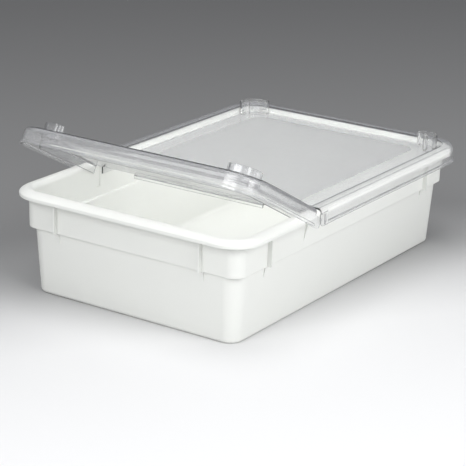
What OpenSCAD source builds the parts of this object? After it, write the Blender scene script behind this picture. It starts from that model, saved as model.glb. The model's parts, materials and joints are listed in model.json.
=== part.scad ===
// Shallow stacking box: a white tub, a clear lid that lifts off, and a flap that swings up on it.
// Origin at the centre of the underside of the tub, +X towards the fixed part of the lid, +Z up.

/* [Tub] */
// Length over the rim
rim_length = 275; // [255:1:320]
// Width over the rim
rim_width = 179.6; // [174:0.2:200]
// Height to the top of the rim
tub_height = 69.7; // [66:0.1:90]
// How far the lip of the rim stands out from the collar
lip_reach = 8; // [7.5:0.1:8.5]
// Wall of the tub below the collar
wall = 1.7; // [1.4:0.1:2]
// Height of the step up to the collar, below the top of the rim
collar_drop = 25.5; // [22:0.5:28]
// How far the foot of the wall stands in from the collar
foot_inset = 5.1; // [4.4:0.1:6]

/* [Lid] */
// Gap between the lid and the rim
lid_gap = 0.35; // [0.3:0.05:0.4]
// Height of the lid's skirt
skirt_height = 11.2; // [9:0.2:12]
// How far the middle of the lid lies below its border
panel_drop = 3.5; // [3.2:0.1:3.8]
// Thickness of the panel
panel_thick = 1.2; // [1:0.1:1.4]
// Height of a stacking post above the lid's border
post_height = 5.8; // [4:0.2:8]

/* [Flap] */
// Distance of the hinge from the middle of the box, towards the flap
hinge_x = 55; // [50:1:70]
// Angle by which the flap is drawn open
flap_open = 28.5; // [0:0.5:90]
// Radius of the hinge bars
bar_r = 1.2; // [1.1:0.1:1.4]
// Distance of each hinge from the middle line
hinge_y = 48; // [40:1:56]

/* [Hidden] */
$fn = 96;

// Half sizes of the collar's outer face. All outlines below are offsets from it.
half_l = rim_length / 2 - lip_reach;
half_w = rim_width / 2 - lip_reach;

// Corner radii in plan, each at the collar's outer face
foot_corner = 14;
collar_corner = 9;
rim_corner = 12.8;

// Tub
foot_round = 2.2;
floor_round = 2.5;
floor_inset = 10;
wall_top_inset = 2;
collar_z = tub_height - collar_drop;
collar_wall = 1.6;
collar_flare = 0.5;
rim_inner_r = 3.5;
rim_apex = rim_inner_r - collar_wall;
rim_centre_z = tub_height - rim_inner_r;
rim_outer_r = 8.2;
rim_thick = 1.6;
rim_arc_high = 84;
rim_arc_low = 50;
collar_top_z = rim_centre_z + 0.6;
collar_blank = 6;
rim_root_rise = 4;
rim_root_z = collar_z + wall + rim_root_rise;
rim_root_out = 0.2;
lip_wall = 1.5;
lip_top_z = tub_height - 2.5;
lip_bottom_z = tub_height - 4.8;
lip_round = 0.6;
lip_edge = 0.3;
lip_fillet = 1;

// Fins between the collar and the lip, and the small gussets below the step
fin_thick = 1.1;
fin_reach = 3.2;
fin_chamfer = 0.4;
fin_low_z = collar_z + 0.3;
fin_high_z = tub_height - 1.8;
fin_long_x = 98;
fin_short_y = 55;
gusset_drop = 9;
gusset_in = wall_top_inset + 0.8;
gusset_out = 0.9;
rib_root = 0.5;
tooth_top_w = 1.6;
tooth_bottom_w = 5.5;
tooth_reach = 3.2;
tooth_foot = 0.1;
tooth_height = 16;
tooth_overlap = 1;

// Lid
border_z = tub_height + 1.5;
border_thick = 1.2;
panel_z = border_z - panel_drop;
riser_r = rim_inner_r + 1.2;
step_up = 0.3;
step_out = 0.2;
skirt_wall = 0.85;
skirt_out = lip_reach + lid_gap + skirt_wall;
skirt_bottom_z = border_z - skirt_height;
border_round = 2.8;
shoulder_in = 2.2;
bead_out = 1;
bead_height = 1.4;
bead_round = 0.4;
bead_lean = 0.1;
bead_slope = 0.6;
plug_outer = -2.4;
plug_wall = 1.1;
plug_top_z = rim_centre_z - 0.6;
plug_bottom_z = border_z - 10.4;
panel_edge = 6;

// Stacking posts, each a slot-shaped tube bent round its corner
post_inset_x = 14;
post_inset_y = 14.3;
post_x = half_l - post_inset_x;
post_y = half_w - post_inset_y;
post_inner_r = 4.5;
post_outer_r = 12.7;
post_wall = 1.4;
post_arc = 104;

// Hinge, with its axis level with the top of the lid's border
axis_z = border_z;
hinge_gap = 2.5;
rail = 1.3;
barrel_r = 2.1;
bar_play = 0.05;
mouth_turn = 125;
mouth_half = 0.8 * bar_r;
rail_arc_end = 174;
clip_length = 12;
lug_length = 2.6;
side_play = 0.4;
arm_height = 2;
lip_half_w = 50;
lip_drop = 7.2;
lip_thick = 1;
lip_root = 1;

// Ears at the ends of the flap's skirt, and the hoods of the fixed lid that they turn behind
ear_r = 11.6;
ear_top = 4.2;
ear_back = 5.3;
ear_front = 13;
ear_round = 3;
ear_play = 0.3;
hood_wall = 0.75;
hood_front = 0.3;
hood_back = 9;
hood_join = 1.5;
hood_round = 4.5;
hood_top = 2.9;
hood_shelf = 0.8;
slot_back = 6.5;

// Sunk line on the inside of the collar, behind each wedge-shaped rib
sink_width = 3.6;
sink_depth = 0.4;
sink_height = 14;

// Larger than the box, and a small overlap
far = 400;
tiny = 0.01;

// Points along an arc about [x, z], from angle a to angle b
function arc(x, z, r, a, b, n = 8) =
    [for (i = [0 : n]) [x + r * cos(a + (b - a) * i / n), z + r * sin(a + (b - a) * i / n)]];

// One rounded rectangle, offset from the collar's outer face
module plate(z, height, offset, corner) {
    r = corner + offset;
    x = half_l - corner;
    y = half_w - corner;
    translate([0, 0, z]) {
        translate([-x, -y - r, 0]) cube([2 * x, 2 * (y + r), height]);
        translate([-x - r, -y, 0]) cube([2 * (x + r), 2 * y, height]);
        for (sx = [-1, 1], sy = [-1, 1])
            translate([sx * x, sy * y, 0]) cylinder(r = r, h = height);
    }
}

// A section [offset, height] carried once round the rounded rectangle
module ring(section, corner) {
    x = half_l - corner;
    y = half_w - corner;
    corners = [[1, 1, 0], [-1, 1, 90], [-1, -1, 180], [1, -1, 270]];
    for (c = corners)
        translate([c[0] * x, c[1] * y, 0]) rotate([0, 0, c[2]])
            rotate_extrude(angle = 90) translate([corner, 0]) polygon(section);
    for (side = [0, 1]) {
        mirror([0, side, 0]) translate([-x, half_w, 0]) rotate([90, 0, 90])
            linear_extrude(2 * x) polygon(section);
        mirror([side, 0, 0]) translate([half_l, y, 0]) rotate([90, 0, 0])
            linear_extrude(2 * y) polygon(section);
    }
}

// A thin upright rib with section [offset, height], on a long side (axis 1) or a short side (axis 0)
module rib(section, thick, axis, along, side) {
    if (axis == 1)
        mirror([0, side, 0]) translate([along - thick / 2, half_w, 0]) rotate([90, 0, 90])
            linear_extrude(thick) polygon(section);
    else
        mirror([side, 0, 0]) translate([half_l, along + thick / 2, 0]) rotate([90, 0, 0])
            linear_extrude(thick) polygon(section);
}

function lower_wall_section() = concat(
    [[-floor_inset, 0]],
    arc(-foot_inset - foot_round, foot_round, foot_round, -90, 0),
    [[-wall_top_inset, collar_z + wall], [-wall_top_inset - wall, collar_z + wall]],
    arc(-foot_inset - wall - floor_round, wall + floor_round, floor_round, 0, -90),
    [[-floor_inset, wall]]);

function rim_section() = concat(
    [[-collar_wall, rim_root_z]],
    arc(rim_apex, rim_centre_z, rim_inner_r, 180, 90),
    arc(rim_apex, tub_height - rim_outer_r, rim_outer_r, rim_arc_high, rim_arc_low),
    arc(lip_reach - lip_round, lip_top_z - lip_round, lip_round, rim_arc_low, 0),
    arc(lip_reach - lip_edge, lip_bottom_z + lip_edge, lip_edge, 0, -90),
    arc(lip_reach - lip_wall + lip_edge, lip_bottom_z + lip_edge, lip_edge, 270, 180),
    arc(lip_reach - lip_wall - lip_fillet, lip_top_z - rim_thick, lip_fillet, 0, rim_arc_low),
    arc(rim_apex, tub_height - rim_outer_r, rim_outer_r - rim_thick, rim_arc_low + 8, rim_arc_high),
    [[collar_flare, collar_top_z], [-rim_root_out, rim_root_z]]);

module tooth(side) {
    high = lip_bottom_z + tooth_overlap;
    low = lip_bottom_z - tooth_height;
    mirror([0, side, 0]) intersection() {
        rib([[-rib_root, high], [tooth_reach, high], [tooth_foot, low], [-rib_root, low]],
            tooth_bottom_w, 1, -hinge_x, 0);
        translate([-hinge_x, far / 2, low]) rotate([90, 0, 0])
            linear_extrude(far) polygon([
                [-tooth_bottom_w / 2, 0], [tooth_bottom_w / 2, 0],
                [tooth_top_w / 2, high - low], [-tooth_top_w / 2, high - low]]);
    }
}

module collar() {
    difference() {
        ring([[-collar_blank, collar_z], [0, collar_z], [collar_flare, collar_top_z],
              [-collar_blank, collar_top_z]], collar_corner);
        plate(collar_z + wall, far, -collar_wall, rim_corner);
        plate(collar_z - 1, wall + 2, -wall_top_inset - wall, foot_corner);
    }
}

module fins() {
    top = [[-rib_root, fin_low_z], [fin_reach - fin_chamfer, fin_low_z],
           [fin_reach, fin_low_z + fin_chamfer], [fin_reach, fin_high_z], [-rib_root, rim_centre_z]];
    gusset = [[-gusset_in, collar_z - gusset_drop], [-gusset_out, fin_low_z], [-gusset_in, fin_low_z]];
    for (side = [0, 1], s = [-1, 1])
        for (section = [top, gusset]) {
            rib(section, fin_thick, 1, s * fin_long_x, side);
            rib(section, fin_thick, 0, s * fin_short_y, side);
        }
}

module sink_line(side) {
    mirror([0, side, 0])
        translate([-hinge_x - sink_width / 2, half_w - collar_wall - 1, rim_centre_z - sink_height])
            cube([sink_width, 1 + sink_depth, sink_height]);
}

module tub() {
    color("whitesmoke") difference() {
        union() {
            plate(0, wall, -floor_inset + tiny, foot_corner);
            ring(lower_wall_section(), foot_corner);
            collar();
            ring(rim_section(), rim_corner);
            fins();
            for (side = [0, 1]) tooth(side);
        }
        for (side = [0, 1]) sink_line(side);
    }
}

// Border, skirt and bead of the lid, then its riser and plug wall, as one outline
function lid_section() = concat(
    [[-panel_edge, panel_z - panel_thick], [plug_outer - plug_wall, panel_z - panel_thick],
     [plug_outer - plug_wall, plug_bottom_z], [plug_outer, plug_bottom_z], [plug_outer, plug_top_z]],
    arc(rim_apex, rim_centre_z, rim_inner_r + lid_gap, 180, 90),
    arc(lip_reach + lid_gap - shoulder_in, border_z - border_thick - shoulder_in, shoulder_in, 90, 0),
    [[lip_reach + lid_gap, skirt_bottom_z], [skirt_out + bead_out - bead_round, skirt_bottom_z],
     [skirt_out + bead_out, skirt_bottom_z + bead_round],
     [skirt_out + bead_out - bead_lean, skirt_bottom_z + bead_height],
     [skirt_out, skirt_bottom_z + bead_height + bead_slope]],
    arc(skirt_out - border_round, border_z - border_round, border_round, 0, 90),
    [[rim_apex + step_out, border_z], [rim_apex + step_out, border_z - step_up]],
    arc(rim_apex, rim_centre_z, riser_r, 90, 180 - asin((panel_z - rim_centre_z) / riser_r)),
    [[-panel_edge, panel_z]]);

// One post: a bent tube with round ends, open at the top
module post() {
    mid = (post_inner_r + post_outer_r) / 2;
    outer = (post_outer_r - post_inner_r) / 2;
    half_arc = post_arc / 2;
    module slot(r, z, h) {
        rotate([0, 0, -half_arc]) rotate_extrude(angle = 2 * half_arc)
            translate([mid - r, z]) square([2 * r, h]);
        for (s = [-1, 1]) rotate([0, 0, s * half_arc]) translate([mid, 0, z]) cylinder(r = r, h = h);
    }
    difference() {
        slot(outer, panel_z - tiny, post_height + panel_drop + tiny);
        slot(outer - post_wall, panel_z, far);
    }
}

// The lid's shell, cut to the stretch from x = a to x = b
module lid_shell(a, b) {
    intersection() {
        union() {
            ring(lid_section(), rim_corner);
            plate(panel_z - panel_thick, panel_thick, -panel_edge + tiny, rim_corner);
        }
        translate([a, -far / 2, 0]) cube([b - a, far, far]);
    }
}

// A rail along the hinge that joins the panel to the border, between x = a and x = b.
// Its outline across the box follows the rim with the lid's own gap.
module hinge_rail(a, b) {
    under = [for (p = arc(rim_apex, rim_centre_z, rim_inner_r + lid_gap, 90, rail_arc_end))
        [half_w + p[0], p[1]]];
    foot = [half_w + plug_outer - plug_wall - tiny, panel_z - panel_thick];
    half = concat([[0, border_z], [half_w + rim_apex, border_z]], under, [foot, [0, foot[1]]]);
    for (side = [0, 1]) mirror([0, side, 0]) translate([a, 0, 0]) rotate([90, 0, 90])
        linear_extrude(b - a) polygon(half);
}

module corner_posts(side) {
    for (sy = [-1, 1])
        translate([side * post_x, sy * post_y, 0])
            rotate([0, 0, side > 0 ? sy * 45 : sy * 135]) post();
}

// Open clips that hold the flap's bars
module clips() {
    for (sy = [-1, 1])
        translate([-hinge_x, sy * hinge_y, axis_z]) rotate([90, 0, 0]) difference() {
            union() {
                cylinder(r = barrel_r, h = clip_length, center = true);
                translate([0, -barrel_r, -clip_length / 2])
                    cube([hinge_gap + rail / 2, barrel_r, clip_length]);
            }
            cylinder(r = bar_r + bar_play, h = far, center = true);
            rotate([0, 0, mouth_turn]) translate([0, -mouth_half, -far / 2])
                cube([far, 2 * mouth_half, far]);
        }
}

// Turns an outline [x, z], drawn about the hinge axis, into a plate between two offsets
module side_plate(inner, outer) {
    translate([-hinge_x, half_w + outer, axis_z]) rotate([90, 0, 0])
        linear_extrude(outer - inner) children();
}

// Joggled end of the skirt, one wall further out, with its lower front corner rounded
module hood() {
    inner = skirt_out + ear_play;
    outer = inner + hood_wall;
    joggle_in = skirt_out - skirt_wall / 2;
    top = -hood_top;
    low = -skirt_height;
    side_plate(inner, outer)
        polygon(concat(
            arc(hood_round - hood_front, low + hood_round, hood_round, 180, 270),
            [[hood_back, low], [hood_back, top], [-hood_front, top]]));
    side_plate(joggle_in, outer) translate([hood_back - hood_join, low])
        square([hood_join, top - low]);
    side_plate(joggle_in, outer) translate([hinge_gap, top - hood_shelf])
        square([hood_back - hinge_gap, hood_shelf]);
}

// Room inside the hood for the ear of the closed flap
module ear_slot() {
    side_plate(lip_reach, skirt_out + ear_play) translate([0, -far])
        square([slot_back, far - ear_top + ear_play]);
}

module rear_shell() {
    difference() {
        lid_shell(-hinge_x + hinge_gap, far);
        for (side = [0, 1]) mirror([0, side, 0]) ear_slot();
    }
    for (side = [0, 1]) mirror([0, side, 0]) hood();
}

module rear_lid() {
    front = -hinge_x + hinge_gap;
    color("lightgray", 0.6) {
        rear_shell();
        hinge_rail(front, front + rail);
        corner_posts(1);
        clips();
        // Lip that hangs in front of the rail and closes the gap below the hinge
        translate([-hinge_x - lip_thick, -lip_half_w, panel_z - panel_thick - lip_root])
            cube([hinge_gap + lip_thick + rail, 2 * lip_half_w, lip_root + tiny]);
        translate([-hinge_x - lip_thick, -lip_half_w, border_z - lip_drop])
            cube([lip_thick, 2 * lip_half_w, lip_drop - panel_drop - panel_thick]);
    }
}

// Hinge bars of the flap, each between two lugs
module bars() {
    for (sy = [-1, 1])
        translate([-hinge_x, sy * hinge_y, axis_z]) rotate([90, 0, 0]) {
            cylinder(r = bar_r, h = clip_length + 2 * side_play + lug_length, center = true);
            for (s = [-1, 1])
                translate([0, 0, s * (clip_length + lug_length + 2 * side_play) / 2]) {
                    cylinder(r = barrel_r, h = lug_length, center = true);
                    translate([-hinge_gap - rail / 2, -arm_height, -lug_length / 2])
                        cube([hinge_gap + rail / 2, arm_height, lug_length]);
                }
        }
}

// Rounded end of the flap's skirt, which keeps the side closed as the flap turns
module ear() {
    side_plate(skirt_out - skirt_wall, skirt_out) {
        intersection() {
            circle(r = ear_r);
            translate([-ear_front, -ear_r]) square([ear_front + ear_back, ear_r - ear_top]);
        }
        polygon(concat(
            [[0, -ear_top], [-ear_front, -ear_top]],
            arc(-ear_front + ear_round, -ear_r + ear_round, ear_round, 180, 270),
            [[0, -ear_r]]));
    }
}

module closed_flap() {
    rear = -hinge_x - hinge_gap;
    for (side = [0, 1]) mirror([0, side, 0]) ear();
    lid_shell(-far, rear);
    hinge_rail(rear - rail, rear);
    corner_posts(-1);
    bars();
}

module front_flap() {
    color("gainsboro", 0.6)
        translate([-hinge_x, 0, axis_z]) rotate([0, flap_open, 0])
            translate([hinge_x, 0, -axis_z]) closed_flap();
}

tub();
rear_lid();
front_flap();
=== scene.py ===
"""Shallow stacking box: a glossy white tub, a clear lift-off lid, and a clear flap hinged to it."""
import json
import math

import bmesh
import bpy
from mathutils import Matrix, Vector


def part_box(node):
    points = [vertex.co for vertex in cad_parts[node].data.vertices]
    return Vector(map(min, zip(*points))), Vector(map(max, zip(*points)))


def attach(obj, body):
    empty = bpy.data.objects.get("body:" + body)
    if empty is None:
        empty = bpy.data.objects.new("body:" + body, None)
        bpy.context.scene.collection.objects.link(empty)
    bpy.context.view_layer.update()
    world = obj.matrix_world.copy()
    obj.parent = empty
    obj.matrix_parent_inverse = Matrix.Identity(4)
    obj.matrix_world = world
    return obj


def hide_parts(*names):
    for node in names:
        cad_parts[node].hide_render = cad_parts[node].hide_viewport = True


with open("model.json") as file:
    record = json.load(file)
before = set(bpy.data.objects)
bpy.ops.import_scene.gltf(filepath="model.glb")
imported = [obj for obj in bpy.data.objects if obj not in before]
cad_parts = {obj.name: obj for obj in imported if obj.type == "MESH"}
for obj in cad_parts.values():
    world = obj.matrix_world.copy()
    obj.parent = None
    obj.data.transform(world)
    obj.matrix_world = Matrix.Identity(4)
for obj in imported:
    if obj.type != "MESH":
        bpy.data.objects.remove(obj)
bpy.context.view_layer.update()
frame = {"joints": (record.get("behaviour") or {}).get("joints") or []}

MM = 0.001

# ---------------------------------------------------------------- sizes, in millimetres
# Everything hangs on the CAD model: the rim from the tub's box, the hinge from its joint.
JOINTS = {joint["name"]: joint for joint in frame["joints"]}
HINGE = JOINTS["flap_swing"]
AXIS_X = HINGE["pos_m"][0] / MM
AXIS_Z = HINGE["pos_m"][2] / MM
REST_OPEN = math.radians(-HINGE["range_deg"][0])

LIP = 8.0
HALF_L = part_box("tub")[1].x / MM - LIP
HALF_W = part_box("tub")[1].y / MM - LIP
RIM_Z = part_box("tub")[1].z / MM

# Corner radii in plan, at the collar's outer face
FOOT_CORNER = 14.0
COLLAR_CORNER = 9.0
RIM_CORNER = 12.8

# Tub
WALL = 1.7
COLLAR_WALL = 1.6
COLLAR_Z = RIM_Z - 25.5
RIM_R = 3.5
APEX = RIM_R - COLLAR_WALL
RIM_MID_Z = RIM_Z - RIM_R
RIM_OUTER_R = 8.2
LIP_TOP_Z = RIM_Z - 2.5
LIP_LOW_Z = RIM_Z - 4.8
LIP_WALL = 1.5
FLOOR_EDGE = -13
FOOT_OUT = -5.15
FOOT_IN = -5.1
WALL_TOP = -2.0
STEP_ROUND = 0.5
LIP_EDGE = 0.35

# Fins under the rim and gussets below the step; offsets are from the collar
RIB_ROOT = -0.5
FIN_FOOT = 2.8
FIN_REACH = 3.2
FIN_FOOT_Z = COLLAR_Z + 0.3
FIN_BEVEL_Z = COLLAR_Z + 0.9
FIN_TOP_Z = RIM_Z - 1.8
FIN_HALF = 0.55
FIN_LONG_X = 98.0
FIN_SHORT_Y = 55.0
GUSSET_ROOT = -2.8
GUSSET_OUT = -0.9
GUSSET_LOW_Z = COLLAR_Z - 9

# Wedge in line with the hinge: height, half width and reach, at its top and at its foot
WEDGE_ROWS = [(LIP_LOW_Z + 1, 0.8, 3.2), (LIP_LOW_Z - 16, 2.75, 0.05)]

# Sunk line inside each long wall, cut from CUT_PAST inside the tub
SINK_HALF = 1.8
SINK_DEPTH = 0.4
SINK_HEIGHT = 14
CUT_PAST = 1

# Lid and flap
BORDER_Z = RIM_Z + 1.5
PANEL_Z = BORDER_Z - 3.5
PANEL_T = 1.2
PANEL_LOW_Z = PANEL_Z - PANEL_T
GAP = 0.35
SKIRT_IN = LIP + GAP
SKIRT_OUT = SKIRT_IN + 0.85
SKIRT_LOW = BORDER_Z - 11.2
SKIRT_TOP = BORDER_Z - 1.5
PLUG_OUT = -2.4
PLUG_IN = PLUG_OUT - 1.1
PLUG_LOW = BORDER_Z - 10.4
SATIN_EDGE = -16.0
SATIN_CORNER = 24.0
SATIN_RISE = 0.04
RISER_R = RIM_R + 1.2
SHOULDER_R = 2.8
SHOULDER_IN_R = 2.2
BEAD_Z = SKIRT_LOW + 1.4
PLUG_ROUND = 0.45

# Stacking posts
POST_INSET_X = 14
POST_INSET_Y = 14.3
POST_TOP = BORDER_Z + 5.8
POST_MID_R = 8.6
POST_TURN = 52

# Hinge
HINGE_GAP = 2.5
RAIL = 1.3
BAR_R = 1.2
BORE_R = 1.25
BARREL_R = 2.1
CLIP_Y = 48.0
CLIP_LENGTH = 12.0
LUG = 2.6
SIDE_PLAY = 0.4
MOUTH_TURN = 125
MOUTH_INNER = 50
MOUTH_OUTER = 27
BAR_SIDES = 24
BAR_ROOT = 1

# Guard that hangs in front of the fixed lid's rail
GUARD_HALF = 50
GUARD_DROP = 7.2
GUARD_T = 1

# Ears at the ends of the flap's skirt, and the hoods of the fixed lid; x and z from the hinge axis
EAR_R = 11.6
EAR_TOP = -4.2
EAR_BACK = 5.3
EAR_FRONT = -13
EAR_ROUND = 3
HOOD_IN = SKIRT_OUT + 0.3
HOOD_OUT = SKIRT_OUT + 1.05
HOOD_SEAT = SKIRT_OUT - 0.4
HOOD_FRONT = -0.3
HOOD_BACK = 9.0
HOOD_TOP = -2.9
HOOD_SHELF = 0.8
HOOD_ROUND = 4.5
SLOT = [(-9, -20), (6.5, -20), (6.5, -3.9), (-9, -3.9)]

# Pieces that are joined overlap by TOUCH; blocks that keep one end of the lid reach FAR_X and FAR
TOUCH = 0.01
FAR_X = 300
FAR = 200

# How far a face may be off level, or past the satin part's edge, and still belong to it
LEVEL_PLAY = 0.02
EDGE_PLAY = 0.1

CORNER_STEPS = 16
LONG_STEPS = 20
SHORT_STEPS = 12
MERGE = 1e-6
SHARP = 32

# ---------------------------------------------------------------- looks, lamps and camera, in metres
WHITE = ((0.76, 0.77, 0.739), (0.78, 0.79, 0.759))
WHITE_ROUGH = (0.285, 0.33)
WHITE_TINT_GRAIN = 14
WHITE_ROUGH_GRAIN = 60
WHITE_WAVE_GRAIN = 12
WHITE_WAVE = (0.05, 0.0004)
GLOW_WEIGHT = 0.04
GLOW_RADIUS = (1, 1, 0.9)
GLOW_SCALE = 0.002
PLASTIC_IOR = 1.49
CLEAR_TINT_GRAIN = 30
CLEAR_BUMP = 0.15
COOL = (0, 0.002, 0.008)

# Clear finishes in the order of the lid's materials: milkiness, tint from and to, roughness from
# and to, grain in cycles per metre, depth of the bumps, and the share of lamp light let through
FINISHES = {
    "clear_border": (0.01, 0.96, 0.985, 0.06, 0.12, 120, 0.0002, 0.58),
    "satin_panel": (0.24, 0.91, 0.94, 0.4, 0.48, 260, 0.0003, 0.82),
    "milky_skirt": (0.08, 0.91, 0.94, 0.1, 0.18, 120, 0.0002, 0.75),
    # Painted highlight: the strip round the middle is made milkier and so paler, in place of the
    # brightness light gives the real clear strip
    "strip_painted_highlight": (0.3, 0.96, 0.985, 0.06, 0.12, 120, 0.0002, 0.85),
}
SATIN_SLOT = 1
SKIRT_SLOT = 2
STRIP_SLOT = 3

# The sheet under the box has painted shade: it turns greyer away from the camera, in place of the light
# falling off there; metres along SHEET_AWAY, grey value
SHEET_AWAY = (0.607, 0.794, 0)
SHEET_PAINTED_SHADE = ((-0.30, 0.80), (-0.12, 0.74), (-0.05, 0.56), (0.02, 0.30), (0.09, 0.24), (0.85, 0.165))
SHEET_HALF = 6.0
SHEET_ROUGH = 0.6
SHEET_SHINE = 0.25

SKY_TINT = (0.93, 0.95, 1, 1)
SKY_STRENGTH = 0.33

# Soft boxes: name, place, size and power
LAMPS = (
    ("right", (-0.2, -1.3, 0.82), (1.0, 0.8), 13.2),
    ("left", (-1.4, 0, 0.9), (1.0, 0.8), 11.6),
    ("top", (-0.1, 0, 1.4), (0.9, 0.9), 8),
)
LAMP_AIM = (0, 0, 0.02)

# Azimuth, elevation and roll in degrees
CAMERA_TURN = (-56.603, 18.963, 1.629)
CAMERA_TARGET = (-0.01428, -0.00106, 0.0259)
CAMERA_DISTANCE = 1.18564
CAMERA_LENS = 138.0
CAMERA_SENSOR = 36.0


# ---------------------------------------------------------------- outlines
def arc(x, z, radius, start, end, steps=8):
    """Points (x, z) along an arc, with the angles in degrees."""
    turns = [math.radians(start + (end - start) * i / steps) for i in range(steps + 1)]
    return [(x + radius * math.cos(t), z + radius * math.sin(t)) for t in turns]


def rounded(points, steps=4):
    """An open outline of (x, z, radius, tag) with its corners rounded, as (x, z, tag)."""
    out = []
    for i, (x, z, radius, tag) in enumerate(points):
        if radius <= 0 or i in (0, len(points) - 1):
            out.append((x, z, tag))
            continue
        here = Vector((x, z))
        back = (Vector(points[i - 1][:2]) - here).normalized()
        ahead = (Vector(points[i + 1][:2]) - here).normalized()
        half = back.angle(ahead) / 2
        reach = radius / math.tan(half)
        centre = here + (back + ahead).normalized() * radius / math.sin(half)
        first = here + back * reach - centre
        last = here + ahead * reach - centre
        turn = first.angle_signed(last)
        for k in range(steps + 1):
            p = centre + Matrix.Rotation(-turn * k / steps, 2) @ first
            out.append((p.x, p.y, tag))
    return out


def tagged(points, tag):
    """Points (x, z) as corners for rounded, with no radius of their own."""
    return [(x, z, 0, tag) for x, z in points]


# ---------------------------------------------------------------- meshes
def new_object(name, verts, faces):
    """A mesh object from points in millimetres."""
    mesh = bpy.data.meshes.new(name)
    mesh.from_pydata([tuple(c * MM for c in v) for v in verts], [], faces)
    obj = bpy.data.objects.new(name, mesh)
    bpy.context.scene.collection.objects.link(obj)
    tidy_mesh(obj)
    return obj


def tidy_mesh(obj):
    """Merges doubled points and turns every face outwards."""
    work = bmesh.new()
    work.from_mesh(obj.data)
    bmesh.ops.remove_doubles(work, verts=work.verts, dist=MERGE)
    bmesh.ops.recalc_face_normals(work, faces=work.faces)
    work.to_mesh(obj.data)
    work.free()


def path_points(offset, z, corner):
    """One ring round the box: a rounded rectangle at an offset from the collar."""
    x = HALF_L - corner
    y = HALF_W - corner
    radius = corner + offset
    quarters = [(x, y, 0), (-x, y, 90), (-x, -y, 180), (x, -y, 270)]
    ring = []
    for k, (cx, cy, start) in enumerate(quarters):
        ring += arc(cx, cy, radius, start, start + 90, CORNER_STEPS)
        nx, ny, following = quarters[(k + 1) % 4]
        end = arc(nx, ny, radius, following, following, 1)[0]
        here = ring[-1]
        steps = LONG_STEPS if k % 2 == 0 else SHORT_STEPS
        ring += [(here[0] + (end[0] - here[0]) * i / steps, here[1] + (end[1] - here[1]) * i / steps)
                 for i in range(1, steps)]
    return [(px, py, z) for px, py in ring]


def lofted(name, rings):
    """A closed shell through rings of points, capped flat at both ends."""
    n = len(rings[0])
    verts = [v for ring in rings for v in ring]
    faces = [(a * n + i, a * n + (i + 1) % n, (a + 1) * n + (i + 1) % n, (a + 1) * n + i)
             for a in range(len(rings) - 1) for i in range(n)]
    faces.append(tuple(range(n)))
    faces.append(tuple((len(rings) - 1) * n + i for i in range(n)))
    return new_object(name, verts, faces)


def swept(name, profile):
    """A closed shell from an open profile (offset, z, corner) taken round the box."""
    return lofted(name, [path_points(*p) for p in profile])


def prism(name, outline, low, high, axis):
    """An outline (u, v) carried from low to high along X, Y or Z."""
    place = {
        "X": lambda u, v, w: (w, u, v),
        "Y": lambda u, v, w: (u, w, v),
        "Z": lambda u, v, w: (u, v, w),
    }[axis]
    n = len(outline)
    verts = [place(u, v, w) for w in (low, high) for u, v in outline]
    faces = [(i, (i + 1) % n, n + (i + 1) % n, n + i) for i in range(n)]
    return new_object(name, verts, faces + [tuple(range(n)), tuple(range(n, 2 * n))])


def block(name, low, high):
    """A box between two opposite corners."""
    outline = [(low[0], low[1]), (high[0], low[1]), (high[0], high[1]), (low[0], high[1])]
    return prism(name, outline, low[2], high[2], "Z")


def joined(objects):
    """All meshes in the first object."""
    work = bmesh.new()
    for obj in objects:
        work.from_mesh(obj.data)
    work.to_mesh(objects[0].data)
    work.free()
    for obj in objects[1:]:
        drop(obj)
    return objects[0]


def drop(obj):
    """Removes an object and its mesh."""
    mesh = obj.data
    bpy.data.objects.remove(obj)
    bpy.data.meshes.remove(mesh)


def mirrored(obj, axis):
    """A copy mirrored across the middle plane normal to axis 0 or 1, joined to the original."""
    scale = Matrix.Diagonal([-1 if i == axis else 1 for i in range(3)] + [1])
    twin = bpy.data.objects.new(obj.name + "_twin", obj.data.copy())
    bpy.context.scene.collection.objects.link(twin)
    twin.data.transform(scale)
    twin.data.flip_normals()
    return joined([obj, twin])


def carve(obj, tool, how, overlapping=False):
    """Boolean with the exact solver, applied to the mesh."""
    modifier = obj.modifiers.new("carve", "BOOLEAN")
    modifier.operation = how
    modifier.solver = "EXACT"
    modifier.use_self = overlapping
    modifier.object = tool
    bpy.context.view_layer.update()
    graph = bpy.context.evaluated_depsgraph_get()
    result = bpy.data.meshes.new_from_object(obj.evaluated_get(graph))
    obj.modifiers.clear()
    old = obj.data
    obj.data = result
    bpy.data.meshes.remove(old)
    drop(tool)
    return obj


def smooth(obj):
    """Smooth shading, with the sharper edges kept crisp."""
    obj.data.polygons.foreach_set("use_smooth", [True] * len(obj.data.polygons))
    obj.data.set_sharp_from_angle(angle=math.radians(SHARP))
    normals = obj.modifiers.new("normals", "WEIGHTED_NORMAL")
    normals.keep_sharp = True


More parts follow.
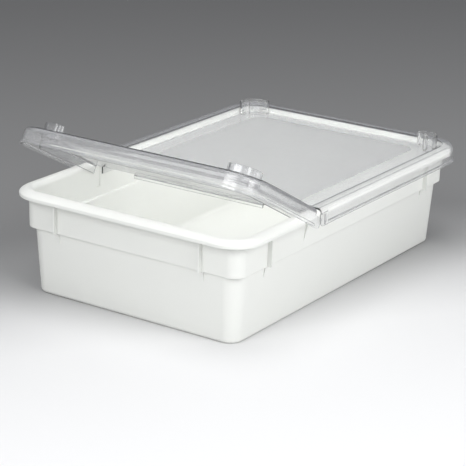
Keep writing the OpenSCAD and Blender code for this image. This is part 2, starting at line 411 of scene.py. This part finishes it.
# ---------------------------------------------------------------- the tub
def tub_profile():
    """The tub's section, from under the floor, over the rim and back to the floor inside."""
    foot = [(FLOOR_EDGE, 0, 0, FOOT_CORNER), (FOOT_OUT, 0, 2.3, FOOT_CORNER),
            (WALL_TOP, COLLAR_Z, STEP_ROUND, FOOT_CORNER), (0, COLLAR_Z, STEP_ROUND, COLLAR_CORNER),
            (0.45, RIM_MID_Z + 1.6, 0.8, COLLAR_CORNER)]
    under_lip = [(LIP - LIP_WALL, LIP_TOP_Z - 0.9, 0.9, RIM_CORNER),
                 (LIP - LIP_WALL, LIP_LOW_Z, LIP_EDGE, RIM_CORNER),
                 (LIP, LIP_LOW_Z, LIP_EDGE, RIM_CORNER)]
    top = (tagged(arc(LIP - 0.8, LIP_TOP_Z - 0.55, 0.8, 0, 56, 5), RIM_CORNER)
           + tagged(arc(APEX, RIM_Z - RIM_OUTER_R, RIM_OUTER_R, 50, 90, 8)[:-1], RIM_CORNER)
           + tagged(arc(APEX, RIM_MID_Z, RIM_R, 90, 180, 10), RIM_CORNER))
    inside = [(-COLLAR_WALL, COLLAR_Z + WALL, 0.4, RIM_CORNER),
              (WALL_TOP - WALL, COLLAR_Z + WALL, 0.8, FOOT_CORNER),
              (FOOT_IN - WALL, WALL, 3.0, FOOT_CORNER), (FLOOR_EDGE, WALL, 0, FOOT_CORNER)]
    return rounded(foot + under_lip + top + inside)


def ribs():
    """The thin fins under the rim, the gussets below the step, and the wedge by the hinge."""
    fin = [(RIB_ROOT, FIN_FOOT_Z), (FIN_FOOT, FIN_FOOT_Z), (FIN_REACH, FIN_BEVEL_Z),
           (FIN_REACH, FIN_TOP_Z), (RIB_ROOT, RIM_MID_Z)]
    gusset = [(GUSSET_ROOT, GUSSET_LOW_Z), (GUSSET_OUT, FIN_FOOT_Z), (GUSSET_ROOT, FIN_FOOT_Z)]
    made = []
    for outline in (fin, gusset):
        side = [(HALF_W + o, z) for o, z in outline]
        end = [(HALF_L + o, z) for o, z in outline]
        for s in (-1, 1):
            x = s * FIN_LONG_X
            y = s * FIN_SHORT_Y
            made.append(mirrored(prism("rib", side, x - FIN_HALF, x + FIN_HALF, "X"), 1))
            made.append(mirrored(prism("rib", end, y - FIN_HALF, y + FIN_HALF, "Y"), 0))
    made.append(mirrored(wedge(), 1))
    return joined(made)


def wedge():
    """Narrow and deep under the rim, wide and flush further down."""
    verts = []
    for z, half, reach in WEDGE_ROWS:
        for sx, o in ((-1, RIB_ROOT), (1, RIB_ROOT), (1, reach), (-1, reach)):
            verts.append((AXIS_X + sx * half, HALF_W + o, z))
    faces = [(0, 1, 2, 3), (4, 5, 6, 7)]
    faces += [(i, (i + 1) % 4, 4 + (i + 1) % 4, 4 + i) for i in range(4)]
    return new_object("wedge", verts, faces)


def make_tub():
    """The tub, with its ribs and the sunk lines inside."""
    tub = swept("tub_shell", tub_profile())
    carve(tub, ribs(), "UNION")
    line = block("line", (AXIS_X - SINK_HALF, HALF_W - COLLAR_WALL - CUT_PAST, RIM_MID_Z - SINK_HEIGHT),
                 (AXIS_X + SINK_HALF, HALF_W - COLLAR_WALL + SINK_DEPTH, RIM_MID_Z))
    carve(tub, mirrored(line, 1), "DIFFERENCE")
    return tub


# ---------------------------------------------------------------- the lid
def lid_profile():
    """The lid's section, from the panel over the border, down the skirt and back up the plug wall."""
    c = RIM_CORNER
    rise = math.degrees(math.asin((PANEL_Z - RIM_MID_Z) / RISER_R))
    top = PANEL_Z + SATIN_RISE
    panel = [(SATIN_EDGE - 1, top, 0, SATIN_CORNER), (SATIN_EDGE, top, 0.15, SATIN_CORNER),
             (SATIN_EDGE + 0.6, PANEL_Z, 0.15, SATIN_CORNER)]
    riser = tagged(arc(APEX, RIM_MID_Z, RISER_R, 180 - rise, 90, 9), c)
    border = [(APEX + 0.2, BORDER_Z - 0.3, 0.05, c), (APEX + 0.2, BORDER_Z, 0.12, c)]
    shoulder = tagged(arc(SKIRT_OUT - SHOULDER_R, BORDER_Z - SHOULDER_R, SHOULDER_R, 90, 0, 9), c)
    bead = [(SKIRT_OUT, SKIRT_LOW + 2.1, 0.5, c), (SKIRT_OUT + 0.95, BEAD_Z, 0.35, c),
            (SKIRT_OUT + 1, SKIRT_LOW, 0.35, c), (SKIRT_IN, SKIRT_LOW, 0.2, c)]
    inner = tagged(arc(SKIRT_IN - SHOULDER_IN_R, BORDER_Z - 3.4, SHOULDER_IN_R, 0, 90, 7), c)
    cove = tagged(arc(APEX, RIM_MID_Z, RIM_R + GAP, 90, 180, 9), c)
    plug = [(PLUG_OUT, RIM_MID_Z - 0.6, 0.3, c), (PLUG_OUT, PLUG_LOW, PLUG_ROUND, c),
            (PLUG_IN, PLUG_LOW, PLUG_ROUND, c), (PLUG_IN, PANEL_LOW_Z, 0.5, c),
            (-12.2, PANEL_LOW_Z, 0, c)]
    return rounded(panel + riser + border + shoulder + bead + inner + cove + plug)


def bent_slot(half, steps=24):
    """Outline of a slot bent round the lid's corner, with half its width given, about the origin."""
    turn = POST_TURN
    tip = Matrix.Rotation(math.radians(turn), 2) @ Vector((POST_MID_R, 0))
    return (arc(0, 0, POST_MID_R + half, -turn, turn, steps)
            + arc(tip.x, tip.y, half, turn, turn + 180, steps)[1:-1]
            + arc(0, 0, POST_MID_R - half, turn, -turn, steps)
            + arc(tip.x, -tip.y, half, 180 - turn, 360 - turn, steps)[1:-1])


def post(side_x, side_y):
    """A hollow stacking post, open at the top, with softened rims: its rows are (half width, z)."""
    high = POST_TOP
    outside = [(3.9, PANEL_Z - 0.1), (4.15, PANEL_Z + 0.1), (4.1, high - 0.35), (3.98, high - 0.1),
               (3.75, high)]
    bore = [(3.05, high), (2.82, high - 0.1), (2.7, high - 0.35), (2.7, PANEL_Z + 0.5),
            (2.55, PANEL_Z + 0.12), (2.2, PANEL_Z + SATIN_RISE / 4)]
    obj = lofted("post", [[(u, v, z) for u, v in bent_slot(half)] for half, z in outside + bore])
    x = side_x * (HALF_L - POST_INSET_X) * MM
    y = side_y * (HALF_W - POST_INSET_Y) * MM
    facing = math.atan2(side_y, side_x)
    obj.data.transform(Matrix.Translation((x, y, 0)) @ Matrix.Rotation(facing, 4, "Z"))
    return obj


def rail(low, high):
    """The upright along the hinge that closes the cut end of the lid."""
    right = [(HALF_W + o, z) for o, z in arc(APEX, RIM_MID_Z, RIM_R + GAP, 90, 174, 9)]
    right.append((HALF_W + PLUG_IN - 0.05, PANEL_LOW_Z + TOUCH))
    half = [(HALF_W + APEX, BORDER_Z - TOUCH)] + right
    outline = half + [(-y, z) for y, z in reversed(half)]
    return prism("rail", outline, low, high, "X")


def about_axis(outline):
    """An outline (x, z) moved to the hinge axis."""
    return [(AXIS_X + x, AXIS_Z + z) for x, z in outline]


def side_plate(outline, inner, outer):
    """An outline about the hinge axis, as an upright plate on both long sides."""
    return mirrored(prism("plate", about_axis(outline), HALF_W + inner, HALF_W + outer, "Y"), 1)


def hood():
    """Joggled end of the fixed skirt, which the flap's ear turns behind."""
    low = SKIRT_LOW - AXIS_Z
    top = HOOD_TOP
    back = HOOD_BACK
    corners = [(back, low, 0, 0), (HOOD_FRONT, low, HOOD_ROUND, 0), (HOOD_FRONT, top, 0.6, 0),
               (back, top, 0, 0)]
    face = side_plate([(x, z) for x, z, _ in rounded(corners, 8)], HOOD_IN, HOOD_OUT)
    bend = [(back - 1.5, HOOD_IN), (back - 0.9, HOOD_SEAT), (back + 1, HOOD_SEAT),
            (back + 1, SKIRT_OUT), (back - 0.2, HOOD_OUT), (back - 1.5, HOOD_OUT)]
    bend = [(AXIS_X + x, HALF_W + offset) for x, offset in bend]
    step = mirrored(prism("bend", bend, AXIS_Z + low, AXIS_Z + top, "Z"), 1)
    front = HINGE_GAP + TOUCH
    shelf = [(front, top - HOOD_SHELF), (back, top - HOOD_SHELF), (back, top), (front, top)]
    return joined([face, step, side_plate(shelf, HOOD_SEAT, HOOD_OUT)])


def clip():
    """An open clip that holds one hinge bar, on both sides."""
    hold = HINGE_GAP + RAIL / 2
    outline = (arc(0, 0, BARREL_R, MOUTH_TURN + MOUTH_OUTER, 270, 14) + [(hold, -BARREL_R), (hold, 0)]
               + arc(0, 0, BARREL_R, 0, MOUTH_TURN - MOUTH_OUTER, 12)
               + arc(0, 0, BORE_R, MOUTH_TURN - MOUTH_INNER, MOUTH_TURN + MOUTH_INNER - 360, 24))
    low = CLIP_Y - CLIP_LENGTH / 2
    high = CLIP_Y + CLIP_LENGTH / 2
    return mirrored(prism("clip", about_axis(outline), low, high, "Y"), 1)


def bar():
    """A hinge bar between its two lugs, on both sides."""
    reach = CLIP_LENGTH / 2 + SIDE_PLAY
    last = 360 - 360 / BAR_SIDES
    rod = about_axis(arc(0, 0, BAR_R, 0, last, BAR_SIDES - 1))
    hold = -HINGE_GAP - RAIL / 2
    lug = about_axis(arc(0, 0, BARREL_R, -90, 180, 24) + [(hold, 0), (hold, -BARREL_R + 0.1)])
    parts = [prism("bar", rod, CLIP_Y - reach - BAR_ROOT, CLIP_Y + reach + BAR_ROOT, "Y")]
    for s in (-1, 1):
        near, far = sorted((CLIP_Y + s * reach, CLIP_Y + s * (reach + LUG)))
        parts.append(prism("lug", lug, near, far, "Y"))
    return mirrored(joined(parts), 1)


def ear():
    """Rounded end of the flap's skirt, on both sides."""
    behind = math.degrees(math.asin(EAR_BACK / EAR_R))
    front = [(0, -EAR_R, 0, 0), (EAR_FRONT, -EAR_R, EAR_ROUND, 0), (EAR_FRONT, EAR_TOP, 0, 0)]
    outline = [(EAR_BACK, EAR_TOP)] + arc(0, 0, EAR_R, behind - 90, -90, 8)
    outline += [(x, z) for x, z, _ in rounded(front, 8)]
    return side_plate(outline, SKIRT_IN, SKIRT_OUT)


def make_rear_lid():
    """The fixed part of the lid, with the guard that hangs in front of its rail."""
    front = AXIS_X + HINGE_GAP
    lid = swept("lid_shell", lid_profile())
    carve(lid, block("half", (front, -FAR, 0), (FAR_X, FAR, FAR)), "INTERSECT")
    carve(lid, side_plate(SLOT, LIP, HOOD_IN), "DIFFERENCE")
    foot = block("foot", (AXIS_X - GUARD_T, -GUARD_HALF, PANEL_LOW_Z - 1),
                 (front + RAIL, GUARD_HALF, PANEL_LOW_Z + TOUCH))
    guard = block("lip", (AXIS_X - GUARD_T, -GUARD_HALF, BORDER_Z - GUARD_DROP),
                  (AXIS_X, GUARD_HALF, PANEL_LOW_Z - 0.5))
    extras = [rail(front, front + RAIL), post(1, 1), post(1, -1), hood(), clip(), foot, guard]
    return carve(lid, joined(extras), "UNION", overlapping=True)


def make_flap():
    """The flap, closed."""
    rear = AXIS_X - HINGE_GAP
    flap = swept("flap_shell", lid_profile())
    carve(flap, block("half", (-FAR_X, -FAR, 0), (rear, FAR, FAR)), "INTERSECT")
    extras = [rail(rear - RAIL, rear), post(-1, 1), post(-1, -1), ear(), bar()]
    return carve(flap, joined(extras), "UNION", overlapping=True)


def open_flap(flap):
    """Turns the closed flap to the CAD model's rest pose."""
    axis = Matrix.Translation((AXIS_X * MM, 0, AXIS_Z * MM))
    flap.data.transform(axis @ Matrix.Rotation(REST_OPEN, 4, "Y") @ axis.inverted())


# ---------------------------------------------------------------- materials
def new_material(name):
    """A material with its node tree and main shader."""
    material = bpy.data.materials.new(name)
    material.use_nodes = True
    tree = material.node_tree
    return material, tree, tree.nodes["Principled BSDF"]


def noise(tree, scale, detail=3.0, rough=0.5):
    """Noise in the row frame, with its scale in cycles per metre."""
    place = tree.nodes.new("ShaderNodeTexCoord")
    texture = tree.nodes.new("ShaderNodeTexNoise")
    texture.inputs["Scale"].default_value = scale
    texture.inputs["Detail"].default_value = detail
    texture.inputs["Roughness"].default_value = rough
    tree.links.new(place.outputs["Object"], texture.inputs["Vector"])
    return texture.outputs["Fac"]


def spread(tree, value, low, high):
    """Maps 0.2 to 0.8 of a noise onto low to high."""
    node = tree.nodes.new("ShaderNodeMapRange")
    node.inputs["From Min"].default_value = 0.2
    node.inputs["From Max"].default_value = 0.8
    node.inputs["To Min"].default_value = low
    node.inputs["To Max"].default_value = high
    tree.links.new(value, node.inputs["Value"])
    return node.outputs["Result"]


def blend_colour(tree, value, first, second):
    """A colour between two, at a value from 0 to 1."""
    node = tree.nodes.new("ShaderNodeMix")
    node.data_type = "RGBA"
    node.inputs[6].default_value = (*first, 1)
    node.inputs[7].default_value = (*second, 1)
    tree.links.new(value, node.inputs[0])
    return node.outputs[2]


def bump(tree, shader, value, strength, distance):
    """Raises the surface by a value, up to a distance in metres."""
    node = tree.nodes.new("ShaderNodeBump")
    node.inputs["Strength"].default_value = strength
    node.inputs["Distance"].default_value = distance
    tree.links.new(value, node.inputs["Height"])
    tree.links.new(node.outputs["Normal"], shader.inputs["Normal"])


def white_plastic():
    """Glossy white polypropylene: faintly uneven, with a little light inside it."""
    material, tree, shader = new_material("white_plastic")
    tint = blend_colour(tree, spread(tree, noise(tree, WHITE_TINT_GRAIN), 0, 1), *WHITE)
    tree.links.new(tint, shader.inputs["Base Color"])
    uneven = spread(tree, noise(tree, WHITE_ROUGH_GRAIN, 4), *WHITE_ROUGH)
    tree.links.new(uneven, shader.inputs["Roughness"])
    shader.inputs["IOR"].default_value = PLASTIC_IOR
    shader.inputs["Subsurface Weight"].default_value = GLOW_WEIGHT
    shader.inputs["Subsurface Radius"].default_value = GLOW_RADIUS
    shader.inputs["Subsurface Scale"].default_value = GLOW_SCALE
    bump(tree, shader, noise(tree, WHITE_WAVE_GRAIN, 1), *WHITE_WAVE)
    return material


def let_light_through(tree, shader, tint):
    """Lamps shine through the clear plastic, as they do through the real one."""
    path = tree.nodes.new("ShaderNodeLightPath")
    clear = tree.nodes.new("ShaderNodeBsdfTransparent")
    clear.inputs["Color"].default_value = (*tint, 1)
    mix = tree.nodes.new("ShaderNodeMixShader")
    output = tree.nodes["Material Output"]
    tree.links.new(path.outputs["Is Shadow Ray"], mix.inputs["Fac"])
    tree.links.new(shader.outputs["BSDF"], mix.inputs[1])
    tree.links.new(clear.outputs["BSDF"], mix.inputs[2])
    tree.links.new(mix.outputs["Shader"], output.inputs["Surface"])


def clear_plastic(name, milk, low, high, rough_low, rough_high, grain, depth, passed):
    """Clear polypropylene: a little milky, its tint between two greys."""
    material, tree, shader = new_material(name)
    greys = [[grey + c for c in COOL] for grey in (low, high)]
    tint = blend_colour(tree, spread(tree, noise(tree, CLEAR_TINT_GRAIN), 0, 1), *greys)
    tree.links.new(tint, shader.inputs["Base Color"])
    uneven = spread(tree, noise(tree, grain, 4), rough_low, rough_high)
    tree.links.new(uneven, shader.inputs["Roughness"])
    shader.inputs["IOR"].default_value = PLASTIC_IOR
    shader.inputs["Transmission Weight"].default_value = 1 - milk
    bump(tree, shader, noise(tree, grain / 3, 3), CLEAR_BUMP, depth)
    let_light_through(tree, shader, (passed, passed, passed))
    return material


def finish_lid(obj, materials):
    """The border's material, the satin one on the panel's raised middle, a milkier one on the skirt,
    and a paler, milkier one on the strip round the middle: a painted highlight, in place of the
    brightness that light gives the real clear strip. Run while the lid is still level."""
    for material in materials:
        obj.data.materials.append(material)
    for face in obj.data.polygons:
        x, y, z = (c / MM for c in face.center)
        heights = [obj.data.vertices[v].co.z / MM - PANEL_Z for v in face.vertices]
        level = max(heights) - min(heights) < LEVEL_PLAY and abs(heights[0]) < SATIN_RISE + LEVEL_PLAY
        outside = max(abs(x) - HALF_L, abs(y) - HALF_W)
        if level and outside < SATIN_EDGE + EDGE_PLAY:
            face.material_index = SATIN_SLOT
        # Level faces outside the satin part get the strip's painted highlight
        elif level:
            face.material_index = STRIP_SLOT
        elif z < SKIRT_TOP and outside > APEX:
            face.material_index = SKIRT_SLOT


# ---------------------------------------------------------------- stage
def area_light(name, place, size, power):
    """A rectangular lamp that faces LAMP_AIM."""
    data = bpy.data.lights.new(name, "AREA")
    data.shape = "RECTANGLE"
    data.size, data.size_y = size
    data.energy = power
    obj = bpy.data.objects.new(name, data)
    obj.location = place
    obj.rotation_euler = (Vector(LAMP_AIM) - Vector(place)).to_track_quat("-Z", "Y").to_euler()
    bpy.context.scene.collection.objects.link(obj)


def make_floor():
    """A pale sheet with painted shade: it turns slowly greyer towards the back, where the light falls
    off.
    """
    mesh = bpy.data.meshes.new("floor")
    half = SHEET_HALF
    corners = [(-half, -half, 0), (half, -half, 0), (half, half, 0), (-half, half, 0)]
    mesh.from_pydata(corners, [], [(0, 1, 2, 3)])
    floor = bpy.data.objects.new("floor", mesh)
    bpy.context.scene.collection.objects.link(floor)
    material, tree, shader = new_material("floor_painted_shade")
    place = tree.nodes.new("ShaderNodeTexCoord")
    along = tree.nodes.new("ShaderNodeVectorMath")
    along.operation = "DOT_PRODUCT"
    along.inputs[1].default_value = SHEET_AWAY
    tree.links.new(place.outputs["Object"], along.inputs[0])
    reach = tree.nodes.new("ShaderNodeMapRange")
    reach.inputs["From Min"].default_value = SHEET_PAINTED_SHADE[0][0]
    reach.inputs["From Max"].default_value = SHEET_PAINTED_SHADE[-1][0]
    tree.links.new(along.outputs["Value"], reach.inputs["Value"])
    # Painted shade: this ramp darkens the floor's colour towards the back
    ramp = tree.nodes.new("ShaderNodeValToRGB")
    ramp.color_ramp.interpolation = "B_SPLINE"
    stops = ramp.color_ramp.elements
    while len(stops) < len(SHEET_PAINTED_SHADE):
        stops.new(0.5)
    for stop, (at, grey) in zip(stops, SHEET_PAINTED_SHADE):
        stop.position = (at - SHEET_PAINTED_SHADE[0][0]) / (SHEET_PAINTED_SHADE[-1][0] - SHEET_PAINTED_SHADE[0][0])
        stop.color = (grey, grey, grey, 1)
    tree.links.new(reach.outputs["Result"], ramp.inputs["Fac"])
    tree.links.new(ramp.outputs["Color"], shader.inputs["Base Color"])
    shader.inputs["Roughness"].default_value = SHEET_ROUGH
    shader.inputs["Specular IOR Level"].default_value = SHEET_SHINE
    floor.data.materials.append(material)


def make_camera():
    """The viewing angle: from the flap's end, a little above, with a slight roll."""
    azimuth, elevation, roll = (math.radians(a) for a in CAMERA_TURN)
    back = Vector((math.sin(azimuth) * math.cos(elevation), -math.cos(azimuth) * math.cos(elevation),
                   math.sin(elevation)))
    across = Vector((0, 0, 1)).cross(back).normalized()
    upward = back.cross(across)
    right = across * math.cos(roll) + upward * math.sin(roll)
    up = upward * math.cos(roll) - across * math.sin(roll)
    data = bpy.data.cameras.new("camera")
    data.lens = CAMERA_LENS
    data.sensor_width = CAMERA_SENSOR
    data.clip_start = 0.05
    data.clip_end = 50
    camera = bpy.data.objects.new("camera", data)
    turn = Matrix((right, up, back)).transposed().to_4x4()
    camera.matrix_world = Matrix.Translation(Vector(CAMERA_TARGET) + back * CAMERA_DISTANCE) @ turn
    bpy.context.scene.collection.objects.link(camera)
    bpy.context.scene.camera = camera


def make_world():
    """Even light from all round."""
    world = bpy.data.worlds.new("studio")
    world.use_nodes = True
    sky = world.node_tree.nodes["Background"]
    sky.inputs["Color"].default_value = SKY_TINT
    sky.inputs["Strength"].default_value = SKY_STRENGTH
    bpy.context.scene.world = world


def make_lights():
    """Soft boxes high on both sides of the camera and overhead."""
    for lamp in LAMPS:
        area_light(*lamp)


# ---------------------------------------------------------------- the whole scene
make_camera()
make_world()
make_lights()
make_floor()
bpy.context.scene.view_settings.view_transform = "Standard"

tub = make_tub()
rear_lid = make_rear_lid()
flap = make_flap()

tub.data.materials.append(white_plastic())
finishes = [clear_plastic(name, *values) for name, values in FINISHES.items()]
for lid in (rear_lid, flap):
    finish_lid(lid, finishes)
open_flap(flap)

for piece, node, slot in ((tub, "tub", "white_tub"), (rear_lid, "rear_lid", "clear_lid"),
                          (flap, "front_flap", "clear_lid")):
    smooth(piece)
    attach(piece, node)
    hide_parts(node)
